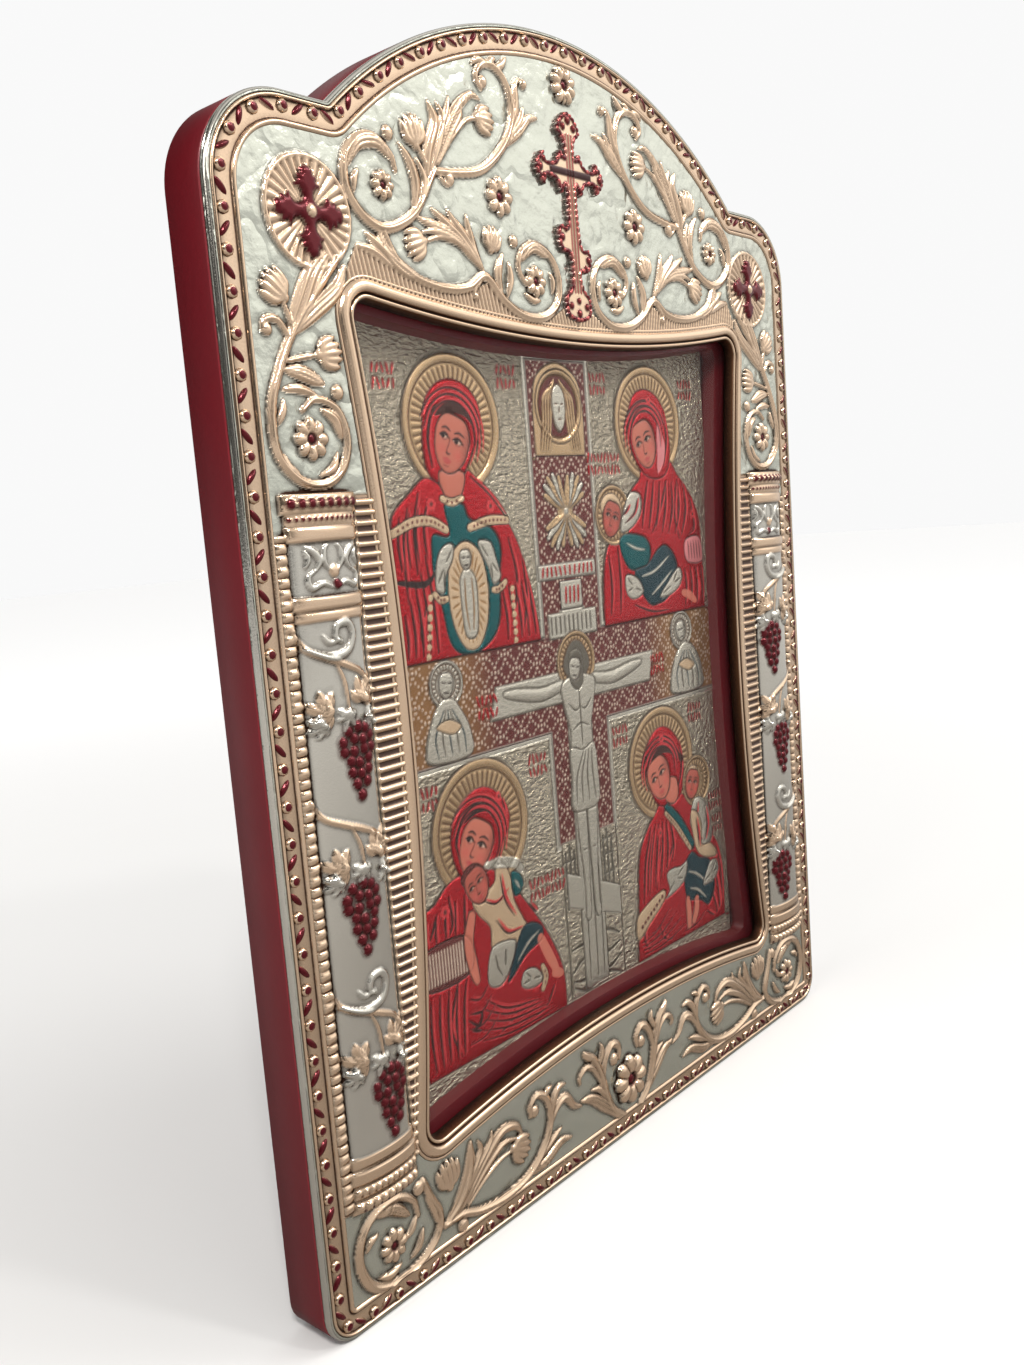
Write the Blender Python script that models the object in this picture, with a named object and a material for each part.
"""Enamel icon: a painted board with an embossed cover, a glass pane and an enamelled plate.

Metres, +Z up. The icon stands on its lower edge and faces -Y. The origin is the middle of
the board's underside. A depth is measured from the cover's flat field towards the back, so
ornament that stands proud has a negative depth.
"""
import math

import bmesh
import bpy
from mathutils import Vector

MM = 0.001

# Outline of the board and of the cover
WIDTH = 200 * MM
HEIGHT = 262 * MM
ARCH_RISE = 27.6 * MM
SHOULDER_RADIUS = 18 * MM
SHOULDER_FLAT = 10.66 * MM
NOTCH_RADIUS = 0.5 * MM
CORNER_RADIUS = 7 * MM

# Board
BOARD_DEPTH = 10.9 * MM
BACK_CHAMFER = 0.8 * MM
FIT_GAP = 0.3 * MM

# Window, whose four sides bow inwards
WINDOW_WIDTH = 140 * MM
WINDOW_BOTTOM = 28.7 * MM
TOP_BAND = 61.9 * MM
SIDE_BOW = 6.5 * MM
TOP_BOW = 6.0 * MM
SILL_BOW = 6.5 * MM
WINDOW_CORNER = 3.5 * MM
WALL_TOP_SETBACK = 0.8 * MM
WALL_FOOT_SETBACK = 2.0 * MM

# Cover sheet, its rim and the moulding round the window
COVER_SHEET = 1.4 * MM
RIM_ROUND = 0.9 * MM
RIM_LINE = 1.3 * MM
ROPE_INSET = 3.0 * MM
ROPE_PITCH = 6.97 * MM
ROPE_BEAD = 1.15 * MM
ROPE_RISE = 0.75 * MM
INNER_LINE = 5.9 * MM
LINE_WIDTH = 0.7 * MM
LINE_RISE = 0.5 * MM
CHANNEL_DEPTH = 0.15 * MM
MOULDING_WIDTH = 4.8 * MM
MOULDING_RISE = 1.0 * MM
LIP_DROP = 1.1 * MM
LIP_SHEET = 1.0 * MM

# Glass and plate
GLASS_THICKNESS = 2 * MM
GLASS_MARGIN = 3 * MM
PLATE_SETBACK = 2.6 * MM
PLATE_SHEET = 0.8 * MM
PLATE_RELIEF = 0.7 * MM

# Columns at both sides of the window, and the ribbed strips between them and the moulding
COLUMN_OFFSET = 13 * MM
COLUMN_HALF_WIDTH = 7.9 * MM
COLUMN_RISE = 2.2 * MM
GRAPE_HALF_WIDTH = 4.6 * MM
VINE_STEM_WIDTH = 1.6
VINE_STEM_RISE = 2.7
RIB_PITCH = 2.0 * MM
RIB_RISE = 0.5 * MM
RIB_VALLEY = 0.08 * MM
RIB_COLUMN_GAP = 0.7 * MM
RIB_CLEARANCE = 0.4 * MM

# Ornament of the field
MEDALLION_RADIUS = 10.3 * MM
MEDALLION_RISE = 0.9 * MM
MEDALLION_CROSS_REACH = 8.2 * MM
MEDALLION_CROSS_RISE = 1.3 * MM
CROSS_RISE = 1.5 * MM
FLOWER_RISE = 1.1 * MM
TOP_FLOWER_RISE = 1.2 * MM
SILL_FLOWER_RISE = 1.8 * MM
BUD_RISE = 1.0 * MM

# Relief elements are rooted this deep in the sheet that they are pressed from
ROOT = 0.5 * MM

# The ornament is laid out in millimetres on a drawing 200 wide with a window 140 wide. These
# levels of the drawing are stretched to the levels of the same name on the icon.
DRAWING_WIDTH = 200.0
DRAWING_WINDOW = 140.0
DRAWING_LEVELS = (0.0, 28.7, 200.1, 262.0)
SCALE = WIDTH / DRAWING_WIDTH

FIELD_Y = -BOARD_DEPTH / 2 - FIT_GAP - COVER_SHEET
BOARD_FRONT = COVER_SHEET + FIT_GAP
BOARD_BACK = BOARD_FRONT + BOARD_DEPTH
LIP_DEPTH = COVER_SHEET + LIP_DROP
GLASS_FRONT = LIP_DEPTH + FIT_GAP
LEDGE_DEPTH = GLASS_FRONT + GLASS_THICKNESS + FIT_GAP
PLATE_GROUND_DEPTH = LEDGE_DEPTH + PLATE_SETBACK
POCKET_DEPTH = PLATE_GROUND_DEPTH + PLATE_SHEET + FIT_GAP

HALF = WIDTH / 2
WINDOW_TOP = HEIGHT - TOP_BAND
SHOULDER_HEIGHT = HEIGHT - ARCH_RISE
ARCH_HALF_SPAN = HALF - SHOULDER_RADIUS - SHOULDER_FLAT
ARCH_RADIUS = (ARCH_HALF_SPAN ** 2 + ARCH_RISE ** 2) / (2 * ARCH_RISE)
ARCH_CENTRE = HEIGHT - ARCH_RADIUS
COLUMN_CENTRE = WINDOW_WIDTH / 2 + COLUMN_OFFSET

CORNER_STEPS = 2
SHOULDER_STEPS = 5
NOTCH_STEPS = 2
ARCH_STEPS = 8
SIDE_STEPS = 6
COLUMN_FACETS = 5
GRAPE_ROWS = 4
HALO_SIDES = 12
OVAL_SIDES = 8


def arc(cx, cz, radius, start, end, steps):
    """Points of an arc from one angle to another, in radians, with both ends."""
    angles = [start + (end - start) * i / steps for i in range(steps + 1)]
    return [(cx + radius * math.cos(a), cz + radius * math.sin(a)) for a in angles]


def outline(inset):
    """The arched outline, moved inwards, anticlockwise as seen from the front."""
    lift = SHOULDER_HEIGHT + NOTCH_RADIUS
    notch_x = math.sqrt((ARCH_RADIUS + NOTCH_RADIUS) ** 2 - (lift - ARCH_CENTRE) ** 2)
    meet = math.atan2(lift - ARCH_CENTRE, notch_x)
    notch = NOTCH_RADIUS + inset
    right = arc(HALF - CORNER_RADIUS, CORNER_RADIUS, CORNER_RADIUS - inset,
                -math.pi / 2, 0, CORNER_STEPS)
    right += arc(HALF - SHOULDER_RADIUS, SHOULDER_HEIGHT - SHOULDER_RADIUS,
                 SHOULDER_RADIUS - inset, 0, math.pi / 2, SHOULDER_STEPS)
    right += arc(notch_x, lift, notch, -math.pi / 2, meet - math.pi, NOTCH_STEPS)
    right += arc(0, ARCH_CENTRE, ARCH_RADIUS - inset, meet, math.pi / 2, ARCH_STEPS)[1:]
    left = [(-x, z) for x, z in reversed(right[:-1])]
    return right + left + [(0, inset)]


class Bow:
    """One side of the window: an arc that bulges into the opening."""

    def __init__(self, start, end, bow):
        start = Vector(start)
        end = Vector(end)
        chord = end - start
        outwards = Vector((chord.y, -chord.x)).normalized()
        self.radius = (chord.length_squared / 4 + bow * bow) / (2 * bow)
        self.centre = (start + end) / 2 + outwards * (self.radius - bow)


def window_sides():
    """The window's sides, anticlockwise from the sill."""
    x = WINDOW_WIDTH / 2
    low = WINDOW_BOTTOM
    top = WINDOW_TOP
    return [
        Bow((-x, low), (x, low), SILL_BOW),
        Bow((x, low), (x, top), SIDE_BOW),
        Bow((x, top), (-x, top), TOP_BOW),
        Bow((-x, top), (-x, low), SIDE_BOW),
    ]


def corner_centre(side, after, guess):
    """Centre of the rounded corner that touches two sides: where two circles cross."""
    r1 = side.radius + WINDOW_CORNER
    r2 = after.radius + WINDOW_CORNER
    gap = after.centre - side.centre
    along = (r1 * r1 - r2 * r2 + gap.length_squared) / (2 * gap.length)
    across = math.sqrt(r1 * r1 - along * along)
    unit = gap.normalized()
    middle = side.centre + unit * along
    normal = Vector((-unit.y, unit.x))
    choices = [middle + normal * across, middle - normal * across]
    return min(choices, key=lambda point: (point - Vector(guess)).length)


def window_loop(outset):
    """The window's outline, moved outwards from the lip, anticlockwise from the front."""
    sides = window_sides()
    x = WINDOW_WIDTH / 2
    guesses = [(x, WINDOW_BOTTOM), (x, WINDOW_TOP), (-x, WINDOW_TOP), (-x, WINDOW_BOTTOM)]
    corners = [corner_centre(sides[i], sides[(i + 1) % 4], guesses[i]) for i in range(4)]
    points = []
    for i, side in enumerate(sides):
        start = corners[i - 1] - side.centre
        end = corners[i] - side.centre
        first = math.atan2(start.y, start.x)
        last = first + math.remainder(math.atan2(end.y, end.x) - first, 2 * math.pi)
        points += arc(*side.centre, side.radius - outset, first, last, SIDE_STEPS)
        middle = corners[i]
        radius = WINDOW_CORNER + outset
        towards = side.centre - middle
        away = sides[(i + 1) % 4].centre - middle
        begin = math.atan2(towards.y, towards.x)
        stop = begin + math.remainder(math.atan2(away.y, away.x) - begin, 2 * math.pi)
        points += arc(*middle, radius, begin, stop, CORNER_STEPS)[1:-1]
    return points


def window_edge(z):
    """Half width of the window at a height, on the bowed side."""
    side = window_sides()[1]
    rise = min(max(z - side.centre.y, -side.radius), side.radius)
    return side.centre.x - math.sqrt(side.radius ** 2 - rise ** 2)


def drawing_height(v):
    """Height on the icon of a level of the drawing."""
    real = (0.0, WINDOW_BOTTOM, WINDOW_TOP, HEIGHT)
    for i in range(3):
        low, high = DRAWING_LEVELS[i:i + 2]
        if v <= high or i == 2:
            return real[i] + (v - low) / (high - low) * (real[i + 1] - real[i])


def place(u, v):
    """A spot of the drawing, in metres on the icon."""
    return u * SCALE, drawing_height(v)


def plate_spot(u, v):
    """A spot of the drawing on the plate, which is as wide as the window."""
    return u * WINDOW_WIDTH / DRAWING_WINDOW, drawing_height(v)


def plate_oval(u, v, wide, tall, sides=OVAL_SIDES):
    """Points of an oval on the plate."""
    turns = [2 * math.pi * i / sides for i in range(sides)]
    return [plate_spot(u + wide * math.cos(a), v + tall * math.sin(a)) for a in turns]


class Relief:
    """Collects closed shells that stand on a sheet, to be joined to it by a union."""

    def __init__(self, level):
        self.level = level
        self.mesh = bmesh.new()

    def shell(self, sections):
        """A closed body through equal rings of (x, z, rise) points, capped at both ends."""
        rings = []
        for section in sections:
            ring = []
            for x, z, rise in section:
                ring.append(self.mesh.verts.new((x, FIELD_Y + self.level - rise, z)))
            rings.append(ring)
        count = len(rings[0])
        for ring, after in zip(rings, rings[1:]):
            for i in range(count):
                j = (i + 1) % count
                self.mesh.faces.new((ring[i], ring[j], after[j], after[i]))
        self.mesh.faces.new(rings[0])
        self.mesh.faces.new(rings[-1])

    def cone(self, base, x, z, rise):
        """A pointed body over a base outline, such as a stud or a flower."""
        top = self.mesh.verts.new((x, FIELD_Y + self.level - rise, z))
        ring = [self.mesh.verts.new((bx, FIELD_Y + self.level + ROOT, bz)) for bx, bz in base]
        for i, vert in enumerate(ring):
            self.mesh.faces.new((vert, ring[(i + 1) % len(ring)], top))
        self.mesh.faces.new(ring)

    def stud(self, x, z, radius, rise, sides=6):
        """A round bead."""
        spread = radius * (rise + ROOT) / rise
        turn = 2 * math.pi / sides
        base = [(x + spread * math.cos(i * turn), z + spread * math.sin(i * turn))
                for i in range(sides)]
        self.cone(base, x, z, rise)

    def star(self, x, z, radius, waist, rise, points):
        """A flower or a leaf: petals that meet in a raised middle."""
        turn = math.pi / points
        base = []
        for i in range(2 * points):
            reach = radius if i % 2 == 0 else waist
            base.append((x + reach * math.sin(i * turn), z + reach * math.cos(i * turn)))
        self.cone(base, x, z, rise)

    def pad(self, base, rise, shrink=0.9):
        """A raised area with a slanted edge, such as a figure's outline."""
        cx = sum(x for x, z in base) / len(base)
        cz = sum(z for x, z in base) / len(base)
        inner = [(cx + (x - cx) * shrink, cz + (z - cz) * shrink) for x, z in base]
        self.shell([[(x, z, -ROOT) for x, z in base], [(x, z, rise) for x, z in inner]])

    def ridge(self, spots, width, rise):
        """A raised stem or leaf along a curve through spots. Width and rise are of the drawing."""
        spine = curve([Vector(spot) for spot in spots])
        sections = []
        for i, point in enumerate(spine):
            share = i / (len(spine) - 1)
            swell = math.sin(math.pi * share)
            end = 0.35 - 0.1 * share
            scale = end + (1 - end) * swell ** 0.7
            ahead = spine[min(i + 1, len(spine) - 1)] - spine[max(i - 1, 0)]
            side = Vector((-ahead.y, ahead.x)).normalized() * (width * SCALE / 2 * scale)
            left = point + side
            right = point - side
            crest = rise * MM * (0.5 + 0.5 * scale)
            sections.append([(left.x, left.y, -ROOT), (right.x, right.y, -ROOT),
                             (point.x, point.y, crest)])
        self.shell(sections)

    def zigzag_strip(self, outer, inner_at, rows, joints):
        """Ribs side by side as one body.

        Rows are (z, rise). The strip ends at x = outer, and on its other side it follows
        inner_at(z) in flat walls between the rows whose numbers are the joints.
        """
        inner = {k: inner_at(rows[k][0]) for k in joints}
        for start, stop in zip(joints, joints[1:]):
            low, high = rows[start][0], rows[stop][0]
            for k in range(start + 1, stop):
                share = (rows[k][0] - low) / (high - low)
                inner[k] = inner[start] + (inner[stop] - inner[start]) * share
        new = self.mesh.verts.new
        crest = FIELD_Y + self.level
        outer_top = [new((outer, crest - rise, z)) for z, rise in rows]
        inner_top = [new((inner[k], crest - rise, z)) for k, (z, rise) in enumerate(rows)]
        outer_foot = [new((outer, crest + ROOT, rows[k][0])) for k in (0, -1)]
        inner_foot = [new((inner[k], crest + ROOT, rows[k][0])) for k in joints]
        faces = self.mesh.faces
        for k in range(len(rows) - 1):
            faces.new((outer_top[k], outer_top[k + 1], inner_top[k + 1], inner_top[k]))
        faces.new([outer_foot[0]] + outer_top + [outer_foot[1]])
        for i, (start, stop) in enumerate(zip(joints, joints[1:])):
            faces.new([inner_foot[i]] + inner_top[start:stop + 1] + [inner_foot[i + 1]])
        faces.new(outer_foot + inner_foot[::-1])
        faces.new((outer_foot[0], outer_top[0], inner_top[0], inner_foot[0]))
        faces.new((outer_foot[1], outer_top[-1], inner_top[-1], inner_foot[-1]))

    def finish(self, name):
        """The collected shells as one hidden object. Faces with over four sides are flat."""
        quads = [face for face in self.mesh.faces if len(face.verts) == 4]
        bmesh.ops.triangulate(self.mesh, faces=quads)
        bmesh.ops.recalc_face_normals(self.mesh, faces=self.mesh.faces[:])
        piece = object_from(self.mesh, name)
        piece.hide_render = True
        piece.display_type = "WIRE"
        return piece


def curve(points):
    """A smooth curve through a few points, with about five steps for every four spans."""
    ends = [2 * points[0] - points[1]] + points + [2 * points[-1] - points[-2]]
    spans = len(points) - 1
    steps = round(spans * 1.25)
    result = []
    for i in range(steps + 1):
        where = i * spans / steps
        span = min(int(where), spans - 1)
        t = where - span
        a, b, c, d = ends[span:span + 4]
        result.append(0.5 * (2 * b + (c - a) * t + (2 * a - 5 * b + 4 * c - d) * t ** 2
                             + (3 * b - a - 3 * c + d) * t ** 3))
    return result


def object_from(mesh, name, material=None, smooth=False):
    """A scene object from a bmesh, which is freed."""
    data = bpy.data.meshes.new(name)
    mesh.to_mesh(data)
    mesh.free()
    if smooth:
        data.shade_smooth()
        data.set_sharp_from_angle(angle=math.radians(35))
    if material:
        data.materials.append(material)
    piece = bpy.data.objects.new(name, data)
    bpy.context.scene.collection.objects.link(piece)
    return piece


def finish_material(name, colour, roughness, metallic, transmission=0.0):
    """A plain Principled material."""
    material = bpy.data.materials.new(name)
    material.use_nodes = True
    shader = material.node_tree.nodes["Principled BSDF"]
    shader.inputs["Base Color"].default_value = (*colour, 1)
    shader.inputs["Roughness"].default_value = roughness
    shader.inputs["Metallic"].default_value = metallic
    shader.inputs["Transmission Weight"].default_value = transmission
    return material


def ring_of(mesh, loop, depth):
    """The vertices of one loop at one depth."""
    return [mesh.verts.new((x, FIELD_Y + depth, z)) for x, z in loop]


def bridge(mesh, ring, after):
    """Quads between two rings with the same number of vertices."""
    for i, vert in enumerate(ring):
        j = (i + 1) % len(ring)
        mesh.faces.new((vert, ring[j], after[j], after[i]))


def centre_split(ring):
    """The right and the left half of a ring, each from its top to its foot on the axis."""
    axis = [i for i, vert in enumerate(ring) if abs(vert.co.x) < 0.001 * MM]
    foot, top = sorted(axis, key=lambda i: ring[i].co.z)
    turned = ring[foot:] + ring[:foot]
    rise = (top - foot) % len(ring)
    return turned[:rise + 1][::-1], turned[rise:] + turned[:1]


def fill_between(mesh, outer, inner):
    """A flat face with a hole in it, as two halves that meet on the axis."""
    for half, hole in zip(centre_split(outer), centre_split(inner)):
        mesh.faces.new(half + hole[::-1])


def prism(levels, name, material=None):
    """A closed body through (loop, depth) levels with equal counts."""
    mesh = bmesh.new()
    rings = [ring_of(mesh, loop, depth) for loop, depth in levels]
    for ring, after in zip(rings, rings[1:]):
        bridge(mesh, ring, after)
    mesh.faces.new(rings[0])
    mesh.faces.new(rings[-1])
    bmesh.ops.recalc_face_normals(mesh, faces=mesh.faces[:])
    return object_from(mesh, name, material)


def combine(piece, tool, operation):
    """A Boolean between a piece and a hidden tool object."""
    tool.hide_render = True
    tool.display_type = "WIRE"
    boolean = piece.modifiers.new(tool.name, "BOOLEAN")
    boolean.operation = operation
    boolean.solver = "EXACT"
    boolean.use_self = operation == "UNION"
    boolean.object = tool


def make_board():
    """The painted board with the glass rebate and the tapered window pocket."""
    red = finish_material("red_paint", (0.16, 0.006, 0.014), 0.42, 0.0)
    board = prism([
        (outline(0), BOARD_FRONT),
        (outline(0), BOARD_BACK - BACK_CHAMFER),
        (outline(BACK_CHAMFER), BOARD_BACK),
    ], "board", red)
    side = WINDOW_WIDTH / 2 + GLASS_MARGIN + FIT_GAP
    low = WINDOW_BOTTOM - GLASS_MARGIN - FIT_GAP
    high = WINDOW_TOP + GLASS_MARGIN + FIT_GAP
    rebate = [(-side, low), (side, low), (side, high), (-side, high)]
    proud = BOARD_FRONT - FIT_GAP
    combine(board, prism([(rebate, proud), (rebate, LEDGE_DEPTH)], "glass_rebate"), "DIFFERENCE")
    slope = (WALL_FOOT_SETBACK - WALL_TOP_SETBACK) / (POCKET_DEPTH - LEDGE_DEPTH)
    start = LEDGE_DEPTH - FIT_GAP
    top_setback = WALL_TOP_SETBACK - slope * FIT_GAP
    pocket = [(window_loop(-top_setback), start), (window_loop(-WALL_FOOT_SETBACK), POCKET_DEPTH)]
    combine(board, prism(pocket, "window_pocket"), "DIFFERENCE")


def make_glass():
    """The clear pane, held between the cover's lip and the board's ledge."""
    clear = finish_material("clear_glass", (1, 1, 1), 0.03, 0.0, transmission=1.0)
    side = WINDOW_WIDTH / 2 + GLASS_MARGIN
    low = WINDOW_BOTTOM - GLASS_MARGIN
    high = WINDOW_TOP + GLASS_MARGIN
    pane = [(-side, low), (side, low), (side, high), (-side, high)]
    prism([(pane, GLASS_FRONT), (pane, GLASS_FRONT + GLASS_THICKNESS)], "glass", clear)


def cover_sheet(material):
    """The sheet itself: rim, rope channel, flat field, moulding and lip, as one closed body."""
    half_line = LINE_WIDTH / 2
    rim = [
        (0, COVER_SHEET),
        (0, RIM_ROUND * 0.5),
        (RIM_LINE, -LINE_RISE),
        (RIM_LINE + half_line, CHANNEL_DEPTH),
        (INNER_LINE - half_line, CHANNEL_DEPTH),
        (INNER_LINE, -LINE_RISE),
        (INNER_LINE + LINE_WIDTH, 0),
    ]
    moulding = [
        (MOULDING_WIDTH, 0),
        (MOULDING_WIDTH * 0.8, -MOULDING_RISE * 0.75),
        (MOULDING_WIDTH * 0.52, -MOULDING_RISE),
        (MOULDING_WIDTH * 0.18, 0),
        (0, LIP_DEPTH),
        (LIP_SHEET, LIP_DEPTH),
        (LIP_SHEET, COVER_SHEET),
    ]
    mesh = bmesh.new()
    rim_rings = [ring_of(mesh, outline(inset), depth) for inset, depth in rim]
    for ring, after in zip(rim_rings, rim_rings[1:]):
        bridge(mesh, ring, after)
    moulding_rings = [ring_of(mesh, window_loop(outset), depth) for outset, depth in moulding]
    for ring, after in zip(moulding_rings, moulding_rings[1:]):
        bridge(mesh, ring, after)
    fill_between(mesh, rim_rings[-1], moulding_rings[0])
    fill_between(mesh, rim_rings[0], moulding_rings[-1])
    bmesh.ops.recalc_face_normals(mesh, faces=mesh.faces[:])
    return object_from(mesh, "cover", material, smooth=True)


def add_rope(relief):
    """The row of beads in the channel, at equal steps along the outline."""
    loop = [Vector(point) for point in outline(ROPE_INSET)]
    spans = [(loop[(i + 1) % len(loop)] - point).length for i, point in enumerate(loop)]
    total = sum(spans)
    count = round(total / ROPE_PITCH)
    for bead in range(count):
        left = (bead + 0.5) * total / count
        i = 0
        while left > spans[i]:
            left -= spans[i]
            i += 1
        spot = loop[i].lerp(loop[(i + 1) % len(loop)], left / spans[i])
        relief.stud(spot.x, spot.y, ROPE_BEAD, ROPE_RISE, sides=4)


def add_column(relief, side):
    """A half-round column: rings (low, high, share of half width, share of rise)."""
    rings = (
        (25.0, 28.2, 1.14, 1.15),
        (28.2, 30.4, 1.06, 1.0),
        (30.4, 36.2, 1.12, 1.3),
        (36.2, 140.4, 1.0, 1.0),
        (140.4, 144.8, 1.1, 1.25),
        (144.8, 155.2, 1.04, 0.8),
        (155.2, 160.0, 1.08, 1.1),
        (160.0, 163.5, 1.18, 1.25),
    )
    edge_rise = 0.1 * MM
    slope = 0.05 * MM
    sections = []
    for low, high, wide, tall in rings:
        for v, shift in ((low, 0), (high, -slope)):
            z = drawing_height(v) + shift
            half = COLUMN_HALF_WIDTH * wide
            section = [(side * COLUMN_CENTRE - half, z, -ROOT)]
            for i in range(COLUMN_FACETS + 1):
                turn = math.pi * i / COLUMN_FACETS
                x = side * COLUMN_CENTRE - half * math.cos(turn)
                section.append((x, z, edge_rise + COLUMN_RISE * tall * math.sin(turn)))
            section.append((side * COLUMN_CENTRE + half, z, -ROOT))
            sections.append(section)
    relief.shell(sections)


def add_vines(relief, side):
    """Three bunches of grapes on a column, each with leaves and a stem.

    Spots are (outwards from the column's middle, level).
    """
    bunches = ((-2.5, 119.5, 106.0), (0, 89.5, 75.0), (-2.5, 51.0, 37.3))
    stems = (
        ((9, 139), (5, 134), (-3, 131), (-7, 125)),
        ((9, 107), (3, 103.5), (-5, 101), (-7.5, 96)),
        ((9, 70), (5, 66), (-3, 62), (-6.5, 57)),
    )
    leaves = ((3, 124.5), (-5.5, 125), (5, 92.5), (-4.5, 94), (3.5, 55.5), (-6, 56))

    def spot(across, v):
        return side * (COLUMN_CENTRE + across * SCALE), drawing_height(v)

    for across, high, low in bunches:
        bunch = []
        for i in range(GRAPE_ROWS + 1):
            share = i / GRAPE_ROWS
            x, z = spot(across, high + (low - high) * share)
            half = GRAPE_HALF_WIDTH * math.sin(math.pi * (0.25 + 0.72 * share))
            ring = []
            for turn in (0, 0.3 * math.pi, 0.7 * math.pi, math.pi):
                ring.append((x + half * math.cos(turn), z,
                             COLUMN_RISE * 0.7 + half * 0.45 * math.sin(turn)))
            bunch.append(ring)
        relief.shell(bunch)
    for across, v in leaves:
        x, z = spot(across, v)
        relief.star(x, z, 4.4 * SCALE, 2.0 * SCALE, COLUMN_RISE * 1.35, 5)
    for path in stems:
        relief.ridge([spot(across, v) for across, v in path], VINE_STEM_WIDTH, VINE_STEM_RISE)


def add_ribs(relief, side):
    """The ribbed strip between the column and the moulding, whose inner end follows the bow."""
    outer = COLUMN_CENTRE - COLUMN_HALF_WIDTH - RIB_COLUMN_GAP

    def inner_at(z):
        return window_edge(z) + MOULDING_WIDTH + RIB_CLEARANCE

    low = drawing_height(28.7)
    high = drawing_height(163.5)
    count = round((high - low) / RIB_PITCH)
    pitch = (high - low) / count
    levels = [low + i * pitch for i in range(count + 1)]
    wide = [z for z in levels if outer - inner_at(z) > RIB_PITCH / 2]
    rows = []
    for z in wide[:-1]:
        rows += [(z, RIB_VALLEY), (z + pitch / 2, RIB_RISE)]
    rows.append((wide[-1], RIB_VALLEY))
    last = len(rows) - 1
    joints = [round(last * i / SIDE_STEPS) for i in range(SIDE_STEPS + 1)]
    relief.zigzag_strip(side * outer, lambda z: side * inner_at(z), rows, joints)


def add_medallion(relief, side):
    """A fluted disc with a flared cross on it."""
    x, z = place(side * 78.5, 213.8)
    relief.star(x, z, MEDALLION_RADIUS, MEDALLION_RADIUS * 0.94, MEDALLION_RISE, 10)
    quarter_outline = ((0.28, -0.22), (0.6, -0.28), (0.72, -0.52), (1.0, 0), (0.72, 0.52),
                       (0.6, 0.28))
    cross = []
    for quarter in range(4):
        turn = quarter * math.pi / 2
        for along, across in quarter_outline:
            along_x = along * math.cos(turn) - across * math.sin(turn)
            along_z = along * math.sin(turn) + across * math.cos(turn)
            cross.append((x + MEDALLION_CROSS_REACH * along_x,
                          z + MEDALLION_CROSS_REACH * along_z))
    relief.pad(cross, MEDALLION_CROSS_RISE, shrink=0.93)


def cross_outline():
    """The cross in the arch: a shaft that widens downwards, arms and trefoil ends."""
    half = [
        (4.2, 201.0), (4.6, 205.5), (2.2, 207.5), (1.6, 212.5), (5.4, 214.0), (5.6, 218.8),
        (2.6, 220.5), (1.6, 229.5), (3.6, 227.5), (5.2, 230.3), (8.8, 230.8), (9.6, 228.6),
        (12.6, 232.5), (9.6, 236.4), (8.8, 234.2), (5.2, 234.7), (3.6, 237.3), (1.8, 236.0),
        (2.0, 239.5), (4.3, 241.5), (2.6, 244.6), (0.0, 246.0),
    ]
    right = [place(u, v) for u, v in half]
    return [place(0.0, 199.6)] + right + [(-x, z) for x, z in reversed(right[:-1])]


def add_flowers(relief):
    """Flowers, tulips and buds of the field, left and right, and the two on the axis."""
    flowers = ((25.0, 224.0, 4.2), (59.3, 221.3, 3.4), (14.8, 207.5, 4.2), (83.0, 173.5, 4.2),
               (82.0, 13.6, 4.2))
    tulips = ((49.5, 233.8, 3.8), (28.5, 239.0, 3.8), (51.3, 211.3, 3.8), (28.5, 215.3, 3.4),
              (88.0, 200.0, 4.0), (77.0, 188.6, 3.8), (66.0, 20.5, 4.2), (42.5, 16.2, 4.2))
    buds = ((57.0, 231.3, 1.6), (40.7, 225.3, 1.6), (21.5, 215.2, 1.5), (75.5, 182.3, 1.6),
            (62.5, 7.8, 1.8), (74.5, 21.5, 1.8))
    for side in (-1, 1):
        for u, v, radius in flowers:
            x, z = place(side * u, v)
            relief.star(x, z, radius * SCALE, radius * 0.66 * SCALE, FLOWER_RISE, 6)
        for u, v, radius in tulips:
            x, z = place(side * u, v)
            relief.star(x, z, radius * SCALE, radius * 0.6 * SCALE, FLOWER_RISE, 4)
        for u, v, radius in buds:
            relief.stud(*place(side * u, v), radius * SCALE, BUD_RISE, sides=4)
    for v, radius, rise in ((251.5, 4.2, TOP_FLOWER_RISE), (14.3, 6.2, SILL_FLOWER_RISE)):
        x, z = place(0, v)
        relief.star(x, z, radius * SCALE, radius * 0.72 * SCALE, rise, 8)


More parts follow.
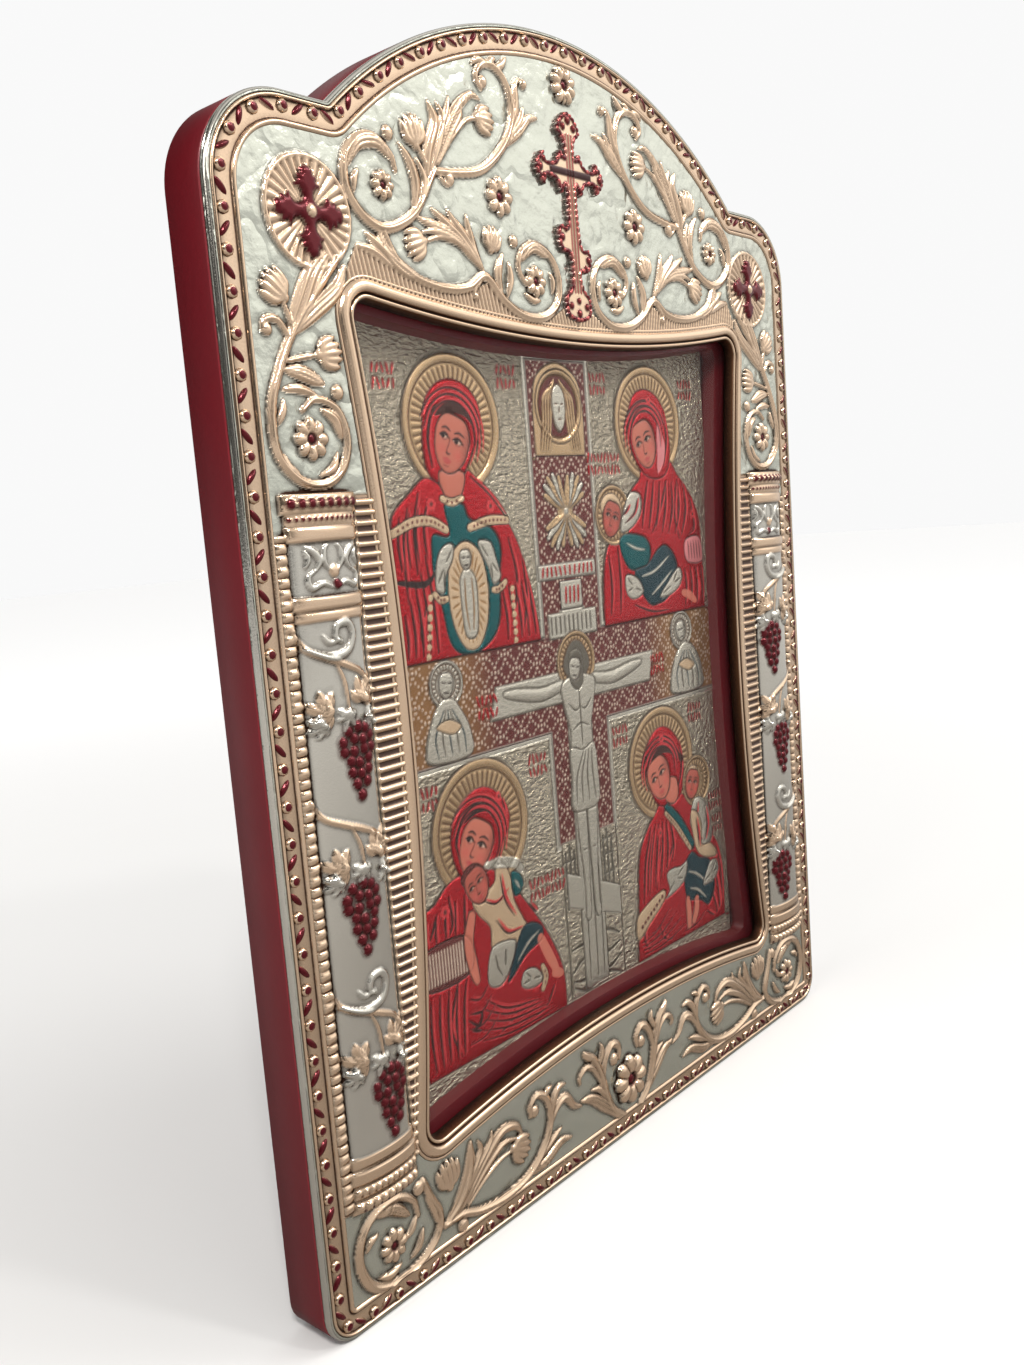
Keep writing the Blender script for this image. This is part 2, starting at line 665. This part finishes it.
def add_scrolls(relief):
    """Stems, scroll circles and acanthus leaves: (points on the left, width, rise)."""
    stems = (
        # upper scroll beside the medallion, with its circle
        (((-44, 226.5), (-51.5, 217), (-60, 213.5), (-68.5, 218), (-67, 227.5), (-59.5, 229),
          (-55.5, 224.5)), 2.2, 1.1),
        (((-44, 226), (-31, 228), (-21.5, 235), (-18.5, 244), (-21.5, 251), (-27.5, 250),
          (-28, 246)), 2.0, 1.1),
        (((-45, 226), (-45.5, 234), (-42, 239.5)), 3.6, 1.0),
        (((-43, 228), (-38.5, 238), (-31, 243.5)), 3.2, 1.0),
        (((-51, 219), (-50, 225), (-53.5, 230)), 2.4, 0.9),
        (((-21, 236), (-15, 240.5), (-10, 242.5)), 2.4, 0.9),
        # lower scroll along the window's top
        (((-61.5, 212.5), (-56, 206.5), (-45, 203.7), (-32, 206.5)), 2.4, 1.0),
        (((-67, 210.5), (-61, 209), (-54, 205.5)), 2.6, 0.9),
        (((-31.5, 207), (-40, 215), (-50, 215.5)), 3.4, 1.0),
        (((-32, 209), (-35.5, 214), (-35.8, 219)), 2.6, 0.9),
        (((-31, 206.5), (-24, 202), (-14.5, 199.8), (-6.8, 205.5), (-9.5, 213.5), (-17.5, 214.5),
          (-20, 209.5)), 2.0, 1.1),
        (((-24.5, 204), (-26.5, 209), (-24, 213.5)), 2.0, 0.9),
        # scroll above the column
        (((-75, 205), (-79, 198.5), (-86.5, 188.5), (-91.3, 176), (-85.5, 166.5), (-77, 167.5),
          (-74.8, 175), (-80.5, 180.5)), 2.2, 1.1),
        (((-80, 204), (-81.5, 198), (-84.5, 192)), 3.6, 0.9),
        (((-87, 186), (-83, 185.5), (-78, 183.5)), 2.6, 0.9),
        # corner scroll and lower band
        (((-72, 23), (-69, 14), (-73, 7.2), (-82, 5.8), (-90, 10.5), (-90, 18.5), (-82, 22.3),
          (-75.5, 17)), 2.2, 1.2),
        (((-70, 10.5), (-60.5, 13), (-56.5, 24.5)), 3.2, 1.1),
        (((-61, 12), (-52, 21), (-43.5, 21)), 3.4, 1.1),
        (((-62.5, 10.5), (-50, 7.2), (-37.5, 9), (-32, 17), (-34, 25), (-38.8, 23),
          (-36.5, 20.5)), 2.2, 1.2),
        (((-38, 8.5), (-30, 10), (-24, 11.5)), 2.4, 0.9),
        (((-32, 13), (-28, 20), (-23, 18), (-20, 15.5)), 2.4, 1.1),
        (((-3, 5), (-9, 10), (-11, 19), (-15, 26), (-18, 28.2)), 2.8, 1.2),
        (((-11.5, 20), (-7.5, 26), (-3.3, 23.5), (-5, 20.5)), 2.0, 1.1),
        (((-12, 19), (-16, 24.5), (-20.5, 22.5)), 1.8, 1.1),
        (((-9, 9), (-14, 14.5), (-19.5, 16.5)), 3.0, 1.0),
    )
    for path, width, rise in stems:
        for side in (1, -1):
            relief.ridge([place(side * u, v) for u, v in path], width, rise)


def make_cover():
    """The embossed cover: the sheet with its ornament joined on."""
    gilt = finish_material("gilt_cover", (0.62, 0.52, 0.38), 0.3, 1.0)
    cover = cover_sheet(gilt)
    rope = Relief(CHANNEL_DEPTH)
    add_rope(rope)
    combine(cover, rope.finish("rope_beads"), "UNION")
    relief = Relief(0)
    for side in (-1, 1):
        add_column(relief, side)
        add_vines(relief, side)
        add_ribs(relief, side)
        add_medallion(relief, side)
    relief.pad(cross_outline(), CROSS_RISE, shrink=0.95)
    add_flowers(relief)
    add_scrolls(relief)
    combine(cover, relief.finish("field_ornament"), "UNION")


def add_figure(relief, halo, head, robe, child):
    """A half figure: halo, robe, head and the child that it holds."""
    u, v, radius = halo
    disc = plate_oval(u, v, radius, radius, HALO_SIDES)
    relief.pad(disc, PLATE_RELIEF * 0.4, shrink=0.96)
    relief.pad([plate_spot(u, v) for u, v in robe], PLATE_RELIEF * 0.75, shrink=0.92)
    for oval in (head, child):
        relief.pad(plate_oval(*oval), PLATE_RELIEF, shrink=0.82)


def make_plate():
    """The enamelled plate: four half figures, a cross with its figure, and two side figures."""
    enamel = finish_material("plate_enamel", (0.35, 0.06, 0.06), 0.35, 0.5)
    slope = (WALL_FOOT_SETBACK - WALL_TOP_SETBACK) / (POCKET_DEPTH - LEDGE_DEPTH)
    setback = WALL_FOOT_SETBACK - slope * FIT_GAP + FIT_GAP
    edge = window_loop(-setback)
    plate = prism([(edge, PLATE_GROUND_DEPTH), (edge, PLATE_GROUND_DEPTH + PLATE_SHEET)],
                  "icon_plate", enamel)
    relief = Relief(PLATE_GROUND_DEPTH)
    add_figure(relief, (-36.8, 177.2, 14.9), (-37.5, 176, 7.4, 10.5),
               ((-58, 127.5), (-57, 146), (-50, 160), (-43, 167), (-31, 167), (-22, 157),
                (-15.5, 142), (-12.5, 127.5)), (-36.5, 140.5, 6.4, 11.5))
    add_figure(relief, (37.3, 177.2, 14.6), (36.5, 176, 7.2, 10.5),
               ((13.2, 127.5), (14.5, 148), (21, 157), (30, 167), (45, 167), (55, 158),
                (59.5, 145), (59.8, 127.5)), (22, 150, 7.5, 10))
    add_figure(relief, (-38.6, 87.5, 15.8), (-38.5, 86.5, 8, 10.5),
               ((-56, 41), (-56, 62), (-51, 74), (-45, 78), (-33, 78), (-24, 69),
                (-15, 52), (-12.5, 40)), (-37, 68, 7.5, 12))
    add_figure(relief, (35.0, 88.3, 14.8), (34.5, 87.5, 7.2, 10.5),
               ((17, 41), (19.5, 64), (27, 75), (33, 78), (45, 76), (53, 66),
                (57, 52), (57, 41)), (51, 66, 5.6, 11))
    beam = [(-4.6, 45), (4.6, 45), (4.6, 110.5), (32, 111.5), (32, 118.8), (4.6, 118.8),
            (4.6, 140), (-4.6, 140), (-4.6, 118.8), (-32, 118.8), (-32, 111.5), (-4.6, 110.5)]
    relief.pad([plate_spot(u, v) for u, v in beam], PLATE_RELIEF * 0.5, shrink=0.98)
    body = [(-2, 56), (2.6, 56), (3.6, 75), (5.6, 92), (4.4, 104), (6.4, 114), (28, 116),
            (28, 118), (4, 120), (-4, 120), (-28, 118), (-28, 116), (-6.4, 114), (-4.4, 104),
            (-5.6, 92), (-3.2, 75)]
    relief.pad([plate_spot(u, v) for u, v in body], PLATE_RELIEF, shrink=0.94)
    ovals = ((0, 120.5, 6.8, 7.2), (-45.5, 116, 6.0, 9.0), (46.5, 116, 6.0, 9.0),
             (0, 180.8, 8.0, 10.4), (0, 157, 8.5, 9.5))
    for oval in ovals:
        relief.pad(plate_oval(*oval), PLATE_RELIEF * 0.8, shrink=0.88)
    combine(plate, relief.finish("plate_relief"), "UNION")


def main():
    """Clears the scene and builds the four pieces."""
    for item in list(bpy.data.objects):
        bpy.data.objects.remove(item)
    make_board()
    make_cover()
    make_glass()
    make_plate()


main()
